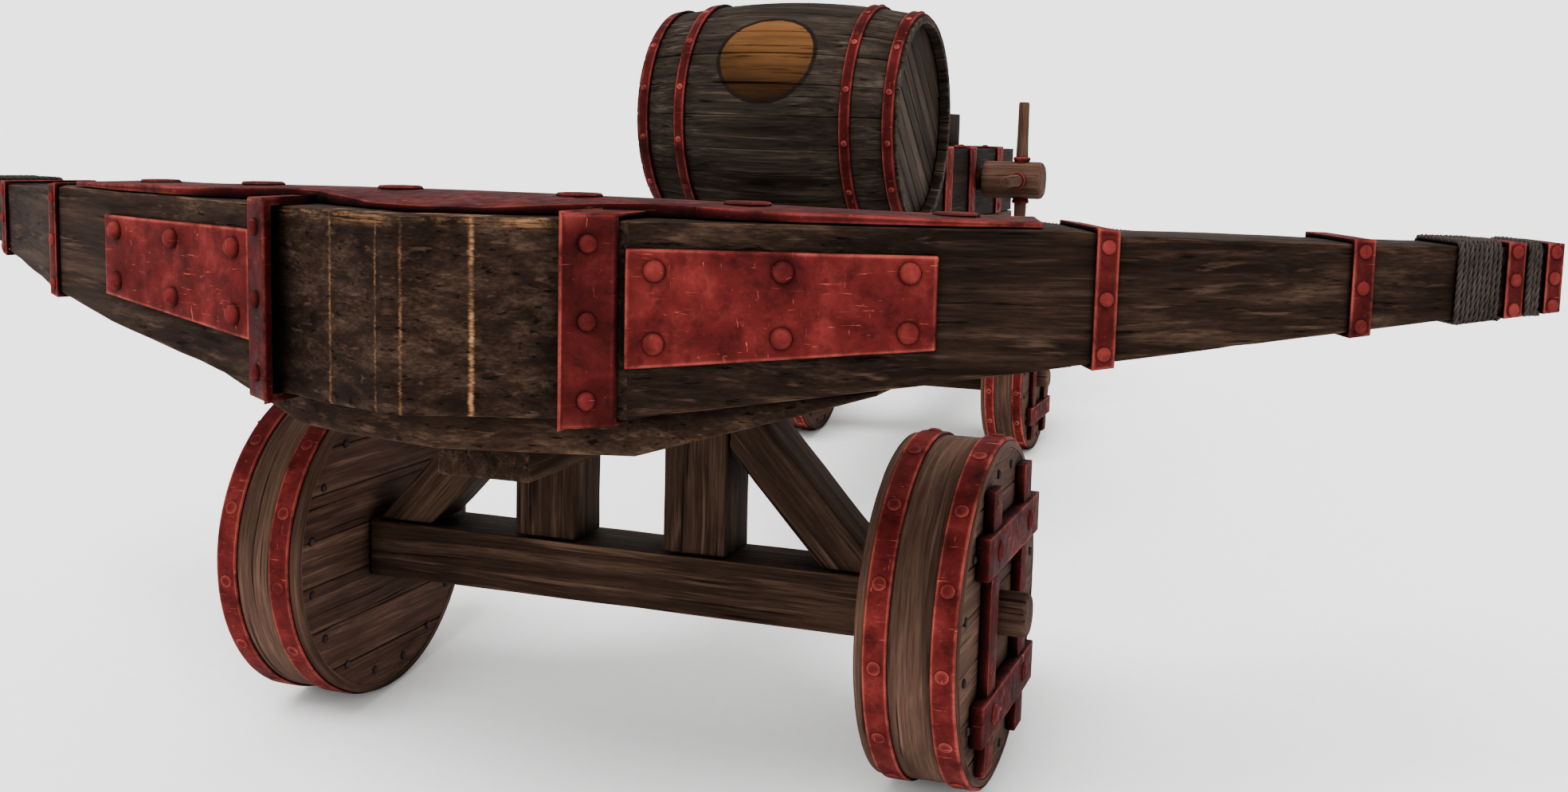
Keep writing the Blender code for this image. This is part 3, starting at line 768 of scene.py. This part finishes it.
def build_top_sheet():
    bm = cad_mesh("top_sheet")
    low = min(v.co.z for v in bm.verts)
    high = max(v.co.z for v in bm.verts)
    join_flats(bm)
    slice_up(bm, (0.06, 0.06, 0))
    for v in bm.verts:
        if v.co.z > (low + high) / 2:
            v.co.z += sheet_crown(v.co.x, v.co.y)
    bm.normal_update()
    bevel_edges(bm, sharp_edges(bm, 60), 0.004)
    wear_down(bm, 0.0010, 8, 9, 0.5)
    piece("iron_top_sheet", bm, "strap_iron", "carriage", ("top_sheet",))

    bm = bmesh.new()
    for side in (1, -1):
        for x, y in SHEET_BOLTS:
            x, y = side * x * U, y * U
            foot = high + sheet_crown(x, y) - 0.003
            loft(bm, [
                [(x + r * U * cos(t), y + r * U * sin(t), foot + z) for t in OCTAGON]
                for r, z in ((0.115, 0), (0.115, 0.006), (0.106, 0.010), (0.030, 0.0105))
            ])
    piece("sheet_bolts", bm, "strap_iron", "carriage", sharp=25)


# ---- ropes
def twisted(bm, path, radius, pitch, strands=3, sides=6):
    """Laid rope: strands that turn about a path once each pitch."""
    frames = []
    up = Vector((0, 0, 1))
    length = 0
    for i, point in enumerate(path):
        before = path[max(i - 1, 0)]
        after = path[min(i + 1, len(path) - 1)]
        tangent = (after - before).normalized()
        up = (up - tangent * up.dot(tangent)).normalized()
        if i:
            length += (point - path[i - 1]).length
        frames.append((point, tangent, up.copy(), tangent.cross(up), length))
    grain = bm.loops.layers.float_vector.get("grain") or bm.loops.layers.float_vector.new("grain")
    for k in range(strands):
        rings, places = [], []
        for point, tangent, u, v, far in frames:
            turn = 2 * pi * (k / strands + far / pitch)
            centre = point + (u * cos(turn) + v * sin(turn)) * radius * 0.48
            lean = (u * -sin(turn) + v * cos(turn)) * (2 * pi * radius * 0.48 / pitch)
            axis = (tangent + lean).normalized()
            side = (u - axis * u.dot(axis)).normalized()
            other = axis.cross(side)
            rings.append([bm.verts.new(p) for p in circle(centre, side, other, radius * 0.52, sides)])
            places.append(far)
        for (a, b), (fa, fb) in zip(zip(rings, rings[1:]), zip(places, places[1:])):
            for j in range(sides):
                n = (j + 1) % sides
                face = bm.faces.new((a[j], a[n], b[n], b[j]))
                for loop, (f, w) in zip(face.loops, ((fa, j), (fa, j + 1), (fb, j + 1), (fb, j))):
                    loop[grain] = (f * 0.12, w * 0.004 + k, 0)
        bm.faces.new(rings[0][::-1])
        bm.faces.new(rings[-1])


def spread(points, step):
    """Points along a polyline at even steps."""
    made = [points[0].copy()]
    spare = 0
    for a, b in zip(points, points[1:]):
        span = (b - a).length
        at = step - spare
        while at <= span:
            made.append(a.lerp(b, at / span))
            at += step
        spare = (spare + span) % step
    return made


WINDING_TURNS = {1: 9, 2: 3}
SECTION_TURN = 6                # points round each corner of a winding


def build_windings():
    for hand in ("left", "right"):
        for i, turns in WINDING_TURNS.items():
            node = f"tip_winding_{hand}_{i}"
            (inner, outer), _ = band_loops(node)
            rope_r = (outer[1] - inner[1]).length / turns / 2
            path = []
            for n in range(turns * 4 + 1):
                t = (n / 2 + 1) / (2 * turns + 2)
                path.append(inner[n % 4].lerp(outer[n % 4], t))
            rounded = round_corners(path, 0.045 * U)
            bm = bmesh.new()
            twisted(bm, spread(rounded, rope_r * 1.1), rope_r, rope_r * 7.5)
            piece(f"rope_{node}", bm, "rope", "carriage", (node,), sharp=80)


def round_corners(path, reach):
    """Replaces each corner of a path by a short arc."""
    made = [path[0]]
    for a, b, c in zip(path, path[1:], path[2:]):
        into = (a - b).normalized()
        out = (c - b).normalized()
        r = min(reach, (a - b).length * 0.4, (c - b).length * 0.4)
        p, q = b + into * r, b + out * r
        for i in range(SECTION_TURN + 1):
            t = i / SECTION_TURN
            made.append(p * (1 - t) ** 2 + b * 2 * t * (1 - t) + q * t ** 2)
    made.append(path[-1])
    return made


STRING_R = 0.020 * U
STRING_ROUTE = (                # right half of the bowstring, from the arm to the centre, in units of U
    (4.440, 0.235, 3.090), (3.300, 1.270, 3.086), (2.150, 2.320, 3.082), (1.300, 3.090, 3.080),
    (0.950, 3.352, 3.080), (0.500, 3.450, 3.080), (0.000, 3.470, 3.080),
)


def smooth_route(points, per_span):
    """Catmull-Rom points through the route."""
    made = []
    ends = [2 * points[0] - points[1]] + points + [2 * points[-1] - points[-2]]
    for a, b, c, d in zip(ends, ends[1:], ends[2:], ends[3:]):
        for i in range(per_span):
            t = i / per_span
            made.append(0.5 * (2 * b + (c - a) * t + (2 * a - 5 * b + 4 * c - d) * t * t
                               + (3 * b - a - 3 * c + d) * t ** 3))
    made.append(points[-1])
    return made


def build_string():
    right = [Vector(p) * U for p in STRING_ROUTE]
    left = [Vector((-p.x, p.y, p.z)) for p in right[:-1]]
    route = smooth_route(left + right[::-1], 12)
    bm = bmesh.new()
    twisted(bm, spread(route, 0.006), STRING_R, 0.055)
    piece("laid_bowstring", bm, "string", "carriage", ("bowstring",), sharp=80)


# ---- the carriage
BRACE_LEAN = (0.673, 0.740)                  # how a front brace runs, across and up
AXLE_ARM = 0.130 / 0.231                     # radius of an axle's arm against half its beam's depth


def build_carriage():
    for hand, side in SIDES:
        worn_timber(f"front_post_{hand}", along_z)
        lean = Vector((-side * BRACE_LEAN[0], 0, BRACE_LEAN[1]))
        worn_timber(
            f"front_brace_{hand}",
            lambda p, d=lean: (p.dot(d), p.y, p.x * d.z - p.z * d.x),
        )
        worn_timber(f"rear_post_{hand}", along_z)
    worn_timber("spine_beam", along_y)
    worn_timber("stock_beam", along_y)
    for end in ("front", "rear"):
        node = f"{end}_axle_beam"
        centre = in_stock(JOINTS[f"{end}_wheel_right_spin"]["pos_m"])
        low, high = stock_box(node)
        arm_r = AXLE_ARM * (high.y - low.y) / 2
        beam_end = max(
            abs(p.x) for p in cad_points(node) if hypot(p.y - centre.y, p.z - centre.z) > arm_r * 1.2
        )

        def mark(bm, edge=beam_end):
            for face in bm.faces:
                if abs(face.calc_center_median().x) > edge + 0.001:
                    face.material_index = 1

        worn_timber(node, along_x, looks=["dark_timber", "wheel_timber"], mark=mark, depth=0.002,
                    steps=(0.12, 0, 0))


# ---- wheels
BAND_RIVETS, BAND_PHASE = 14, -5.3           # rivets round a tyre band, first angle in degrees
NAILS, NAIL_RING = 16, 0.845                 # face nails, and their ring against the radius
PLANK_EDGES = (-1, -0.74, -0.44, -0.13, 0.17, 0.46, 0.75, 1)


def ring_point(x, centre, radius, degrees):
    """A point round an axis along X. 0 degrees is to the front and 90 is up."""
    a = radians(degrees)
    return Vector((x, centre.y - radius * cos(a), centre.z + radius * sin(a)))


def build_wheel(name):
    body = name
    low, high = stock_box(f"{name}_disc")
    centre = in_stock(JOINTS[f"{name}_spin"]["pos_m"])
    side, inner, outer = reach_of(f"{name}_disc")
    wood_r = (high.z - low.z) / 2
    radius = max(hypot(p.y - centre.y, p.z - centre.z) for p in cad_points(f"{name}_band_outer"))
    scale = radius / U
    seed = seed_of(name)

    # Rim: a ring of felloes with the grain running round it.
    rim_in = wood_r * 0.955
    bm = bmesh.new()
    c = 0.006 * scale
    profile = [(inner, rim_in), (inner, wood_r - c), (inner + c * 0.4, wood_r - c * 0.4), (inner + c, wood_r)]
    profile += [(inner * (1 - t) + outer * t, wood_r) for t in (0.25, 0.5, 0.75)]
    profile += [(outer - c, wood_r), (outer - c * 0.4, wood_r - c * 0.4), (outer, wood_r - c)]
    profile.append((outer, rim_in))
    sweep_round(bm, profile, side, centre, 84)

    def round_grain(p):
        a = atan2(p.z - centre.z, centre.y - p.y)
        r = hypot(p.z - centre.z, centre.y - p.y)
        return (a * wood_r, p.x, r)

    lay_grain(bm, round_grain, seed)
    fix_seam(bm, wood_r)
    wear_down(bm, 0.0015, seed % 31, 11, 0.5)
    piece(f"{name}_rim", bm, "wheel_timber", body, (f"{name}_disc",))

    # Boards across both faces.
    bm = bmesh.new()
    reach = rim_in - 0.0008
    for i, (a, b) in enumerate(zip(PLANK_EDGES, PLANK_EDGES[1:])):
        board = bmesh.new()
        outline = board_outline(reach, a * reach, b * reach, 8)
        loops = [
            [(side * x, centre.y + y, centre.z + z) for y, z in outline]
            for x in (inner + 0.002 * scale, outer - 0.002 * scale)
        ]
        loft(board, loops)
        long_edges = [
            e for e in board.edges
            if abs(e.verts[0].co.x - e.verts[1].co.x) < 1e-6
            and abs(e.verts[0].co.z - e.verts[1].co.z) < 1e-4
            and (e.verts[0].co - e.verts[1].co).length > 0.2 * scale * U
        ]
        bevel_edges(board, long_edges, 0.005 * scale, 0.4)
        lay_grain(board, along_y, seed + i * 7, 0.10)
        add_mesh(bm, board)
    piece(f"{name}_boards", bm, "wheel_timber", body)

    # Tyre bands with their rivets.
    rivet_places = []
    for label in ("inner", "outer"):
        node = f"{name}_band_{label}"
        chamfer = min(0.003, (radius - wood_r) * 0.35)
        iron_ring(node, centre, lambda x: wood_r, lambda x: radius, chamfer, 112, 53, "red_iron", body)
        rivet_places += places_round(node, centre, lambda x: radius - 0.0012, BAND_RIVETS, BAND_PHASE)
    rivets(f"{name}_band_rivets", rivet_places, 0.042 * U * scale, 0.016 * U * scale, body)

    # Nails in a ring on both faces.
    places = []
    for x, out in ((inner, -side), (outer, side)):
        for k in range(NAILS):
            at = ring_point(side * x, centre, NAIL_RING * radius, 360 / NAILS * (k + 0.5))
            places.append((at, (out, 0, 0)))
    rivets(f"{name}_nails", places, 0.026 * U * scale, 0.014 * U * scale, body, "nail_iron", 10)

    build_wheel_frame(name, centre, side, outer, scale, body)


def board_outline(reach, bottom, top, steps):
    """One board of a round face, between two heights, as (y, z) points."""
    turns = [asin(max(-1, min(1, z / reach))) for z in (bottom, top)]
    arc = [turns[0] + (turns[1] - turns[0]) * k / steps for k in range(steps + 1)]
    outline = [(cos(t) * reach, sin(t) * reach) for t in arc]
    return unique(outline + [(-y, z) for y, z in outline[::-1]])


def unique(points):
    """The points without those that repeat the one before."""
    made = []
    for p in points:
        if not made or dist(p, made[-1]) > 1e-5:
            made.append(p)
    if dist(made[0], made[-1]) < 1e-5:
        made.pop()
    return made


def fix_seam(bm, radius):
    """Lets the grain run on over the place where the angle jumps by a full turn."""
    grain = bm.loops.layers.float_vector["grain"]
    for face in bm.faces:
        longest = max(loop[grain].x for loop in face.loops)
        for loop in face.loops:
            if longest - loop[grain].x > pi * radius:
                loop[grain] = loop[grain] + Vector((2 * pi * radius, 0, 0))


def add_mesh(bm, other):
    """Moves the faces of one bmesh into another."""
    mesh = bpy.data.meshes.new("part")
    other.to_mesh(mesh)
    other.free()
    bm.from_mesh(mesh)
    bpy.data.meshes.remove(mesh)


def iron_ring(node, centre, inside, outside, chamfer, sides, seeds, look, body):
    """An iron hoop with rounded edges, slightly uneven. Its two radii are functions of x."""
    side, a, b = reach_of(node)
    middle = (a + b) / 2
    profile = [
        (a, inside(a)), (a, outside(a) - chamfer), (a + chamfer, outside(a)), (middle, outside(middle)),
        (b - chamfer, outside(b)), (b, outside(b) - chamfer), (b, inside(b)),
    ]
    bm = bmesh.new()
    sweep_round(bm, profile, side, centre, sides)
    wear_down(bm, 0.0009, seed_of(node) % seeds, 16, 0.5)
    piece(f"iron_{node}", bm, look, body, (node,))


def places_round(node, centre, radius, count, phase):
    """Places evenly round a hoop, each with the way out. The radius is a function of x."""
    low, high = stock_box(node)
    x = (low.x + high.x) / 2
    turns = [phase + 360 / count * k for k in range(count)]
    return [(ring_point(x, centre, radius(x), turn), ring_point(0, Vector(), 1, turn)) for turn in turns]


LEVEL_BAR = (0.665, 0.46, 0.120, 0.077)      # half length, height above the axle, half width, thickness
UPRIGHT_BAR = (0.800, 0.40, 0.100, 0.058)


def build_wheel_frame(name, centre, side, face, scale, body):
    """Two upright bars with two level bars over them, riveted at the crossings."""
    u = U * scale
    bm = bmesh.new()
    places = []
    for (half, away, width, thick), level in ((UPRIGHT_BAR, False), (LEVEL_BAR, True)):
        for sign in (1, -1):
            bar = bmesh.new()
            middle = sign * away
            ys, zs = (middle - width, middle + width), (-half, half)
            if level:
                ys, zs = zs, ys
            loops = [
                [(side * x, centre.y + y * u, centre.z + z * u)
                 for y, z in ((ys[0], zs[0]), (ys[1], zs[0]), (ys[1], zs[1]), (ys[0], zs[1]))]
                for x in (face + 0.0004, face + thick * u)
            ]
            loft(bar, loops)
            bevel_edges(bar, bar.edges[:], 0.0035 * scale)
            slice_up(bar, (0, 0.05, 0.05))
            wear_down(bar, 0.0009, away * 40 + sign * 3, 16, 0.8)
            add_mesh(bm, bar)
            if level:
                for across in (1, -1):
                    at = (side * (face + thick * u - 0.001), centre.y + across * UPRIGHT_BAR[1] * u,
                          centre.z + middle * u)
                    places.append((at, (side, 0, 0)))
    piece(f"{name}_frame", bm, "strap_iron", body, (f"{name}_iron_frame",))
    rivets(f"{name}_frame_rivets", places, 0.062 * u, 0.022 * u, body)


# ---- barrel
STAVES, STAVE_PHASE = 24, 1
HOOP_RIVETS, HOOP_PHASE, HOOP_T = 14, 14.2, 0.020 * U
STAVE_SECTION = (                            # place across a stave, and how far the wood lies below its face
    (0, 0.0050), (0.030, 0.0012), (0.10, 0), (0.37, 0), (0.63, 0), (0.90, 0), (0.970, 0.0012),
)
BARREL_END = 0.765 / 0.865                   # end radius against belly radius
HEAD_DEPTH = 0.070 * U
CHIME = 0.050 * U
HEAD_TURN = radians(-40)              # the head's boards slope down to the rear
HEAD_BOARDS = 11


def build_barrel():
    low, high = stock_box("barrel_cask")
    centre = (low + high) / 2
    half = (high.x - low.x) / 2
    belly = (high.z - low.z) / 2

    def bulge(x):
        return belly - belly * (1 - BARREL_END) * (x / half) ** 2

    bm = bmesh.new()
    grain = bm.loops.layers.float_vector.new("grain")
    tone = bm.loops.layers.float.new("tone")
    dice = random.Random(11)
    edges = [STAVE_PHASE + 360 / STAVES * (k + dice.uniform(-0.10, 0.10)) for k in range(STAVES)]
    edges.append(edges[0] + 360)
    cols, board_of = [], []
    for k, (a, b) in enumerate(zip(edges, edges[1:])):
        lift = dice.uniform(0, 0.0016)
        for t, drop in STAVE_SECTION:
            cols.append((a + (b - a) * t, drop + (lift if t else 0), 0 if t else 1))
            board_of.append(k)
    stations = [half * (2 * i / 28 - 1) for i in range(29)]
    inset = half - HEAD_DEPTH
    rows = [(-inset, bulge(half) - CHIME - 0.004), (-half, bulge(half) - CHIME)]
    rows += [(x, bulge(x)) for x in stations]
    rows += [(half, bulge(half) - CHIME), (inset, bulge(half) - CHIME - 0.004)]
    rings = []
    for n, (x, r) in enumerate(rows):
        lip = n < 2 or n >= len(rows) - 2
        rings.append([
            bm.verts.new(ring_point(centre.x + x, centre, r + (drop * joint if lip else -drop), angle))
            for angle, drop, joint in cols
        ])
    shifts = [Vector([dice.uniform(-30, 30) for _ in range(3)]) for _ in range(STAVES)]
    tones = [dice.uniform(-0.16, 0.16) for _ in range(STAVES)]
    count = len(cols)
    for n in range(len(rings) - 1):
        for i in range(count):
            j = (i + 1) % count
            face = bm.faces.new((rings[n][i], rings[n][j], rings[n + 1][j], rings[n + 1][i]))
            k = board_of[i]
            for loop in face.loops:
                p = loop.vert.co
                a = atan2(p.z - centre.z, centre.y - p.y) - radians(edges[k])
                a = (a + pi) % (2 * pi) - pi
                r = hypot(p.z - centre.z, p.y - centre.y)
                loop[grain] = Vector((p.x, a * belly, r)) + shifts[k]
                loop[tone] = tones[k]
    inner_r = bulge(half) - CHIME - 0.003
    for sign in (-1, 1):
        for i in range(HEAD_BOARDS):
            board = bmesh.new()
            bottom, top = ((2 * k / HEAD_BOARDS - 1) * inner_r for k in (i, i + 1))
            c, s = cos(HEAD_TURN), sin(HEAD_TURN)
            outline = [(y * c - z * s, y * s + z * c) for y, z in board_outline(inner_r, bottom, top, 6)]
            loft(board, [
                [(centre.x + sign * x, centre.y + y, centre.z + z) for y, z in outline]
                for x in (inset - 0.030, inset - 0.004)
            ])
            direction = Vector((0, c, s))
            long_edges = [
                e for e in board.edges
                if abs((e.verts[0].co - e.verts[1].co).normalized().dot(direction)) > 0.999
                and (e.verts[0].co - e.verts[1].co).length > 0.1
            ]
            bevel_edges(board, long_edges, 0.0065, 0.4)
            seed = 300 + i + int(sign) * 40
            lay_grain(board, lambda p, d=direction: (p.dot(d), p.x, p.y * d.z - p.z * d.y), seed, 0.14)
            for face in board.faces:
                face.material_index = 1
            add_mesh(bm, board)
    piece("barrel_staves", bm, ["barrel_timber", "head_timber"], "barrel", ("barrel_cask",), sharp=30)

    places = []
    for label in ("end", "belly"):
        for hand in ("left", "right"):
            node = f"barrel_hoop_{label}_{hand}"
            iron_ring(node, centre, lambda x: bulge(x) - 0.004, lambda x: bulge(x) + HOOP_T, 0.0022, 96, 47,
                      "strap_iron", "barrel")
            places += places_round(node, centre, lambda x: bulge(x) + HOOP_T - 0.001, HOOP_RIVETS, HOOP_PHASE)
    rivets("barrel_hoop_rivets", places, 0.025 * U, 0.012 * U, "barrel")


# ---- windlass
SPIKE_LENGTH = 0.760 * U
SPIKE_R = 0.056 * U
SPIKE_X = 0.830 * U
COLLAR_R = 0.076 * U
HUB_R = 0.180 * U


def build_winch():
    bm = cad_mesh("winch_block")
    soften(bm, 0.022, 40)
    slice_up(bm, (0.12, 0.12, 0.12))
    lay_grain(bm, along_y, 91, 0.05)
    wear_down(bm, 0.003, 12)
    # The block and its stop post take the darker timber, which is painted shade.
    piece("worn_winch_block", bm, "shade_timber", "carriage", ("winch_block",))
    worn_timber("winch_stop_post", along_z, "shade_timber", steps=(0, 0, 0.08), bevel=0.005)
    worn_timber("winch_shaft", along_x, "light_timber", steps=(0, 0, 0), bevel=0.003, depth=0.001)

    places = []
    for i in (1, 2, 3):
        node = f"winch_block_band_{i}"
        worn_iron(node, f"iron_{node}", steps=(0.06, 0, 0.05))
        low, high = stock_box(node)
        for side in (1, -1):
            x = side * high.x
            for t in (0.10, 0.38, 0.66, 0.90):
                places.append(((x - side * 0.0008, (low.y + high.y) / 2, low.z + (high.z - low.z) * t),
                               (side, 0, 0)))
        for x in (-0.6, 0, 0.6):
            if i == 2 and x == 0:
                continue
            places.append(((x * high.x, (low.y + high.y) / 2, high.z - 0.0008), (0, 0, 1)))
    rivets("winch_band_rivets", places, 0.034 * U, 0.014 * U, "carriage")

    centre = in_stock(JOINTS["windlass_spin"]["pos_m"])
    for hand in ("left", "right"):
        node = f"winch_hub_{hand}"
        build_hub(node, centre, *reach_of(node))


def build_hub(node, centre, side, a, b):
    """A turned drum end with four handspikes, each in an iron collar."""
    bm = bmesh.new()
    c = 0.014
    profile = [
        (a, 0.030), (a, HUB_R - c * 0.8), (a + c * 0.3, HUB_R - c * 0.2), (a + c, HUB_R),
        ((a + b) / 2, HUB_R), (b - c * 1.3, HUB_R), (b - c * 0.5, HUB_R - c * 0.25),
        (b, HUB_R - c), (b, 0.030), (b - 0.001, 0.002),
    ]
    sides = 40
    loops = [[ring_point(side * x, centre, r, 360 * i / sides) for i in range(sides)] for x, r in profile]
    loft(bm, loops)
    lay_grain(bm, along_x, 71 + int(side), 0.05)
    wear_down(bm, 0.0012, 17, 14, 0.6)

    collars = bmesh.new()
    for k in range(4):
        turn = 90 * k
        out = ring_point(0, Vector(), 1, turn)
        across = Vector((1, 0, 0))
        other = out.cross(across)
        root = Vector((side * SPIKE_X, centre.y, centre.z))
        spike = bmesh.new()
        loft(spike, [
            circle(root + out * far * SPIKE_LENGTH, across, other, SPIKE_R * r, 14)
            for far, r in ((0.10, 1.12), (0.30, 1.10), (0.55, 1), (0.80, 0.97), (0.975, 0.95), (1, 0.80))
        ])
        lay_grain(spike, lambda p, d=out: (p.dot(d), p.x, p.cross(d).x), 80 + k + int(side) * 10, 0.08)
        add_mesh(bm, spike)
        loft(collars, [
            circle(root + out * far * HUB_R, across, other, COLLAR_R * r, 20)
            for far, r in ((0.86, 1), (1.04, 1), (1.10, 1.10), (1.20, 1.10), (1.26, 0.98), (1.26, 0.80))
        ])
    piece(f"turned_{node}", bm, "light_timber", "windlass", (node,))
    piece(f"collars_{node}", collars, "red_iron", "windlass")


# ---- the scene
build_camera()
build_light()
build_floor()
build_bow()
build_arm_iron()
build_nose_iron()
build_windings()
build_string()
build_carriage()
for wheel in ("front_wheel_right", "front_wheel_left", "rear_wheel_right", "rear_wheel_left"):
    build_wheel(wheel)
build_barrel()
build_winch()
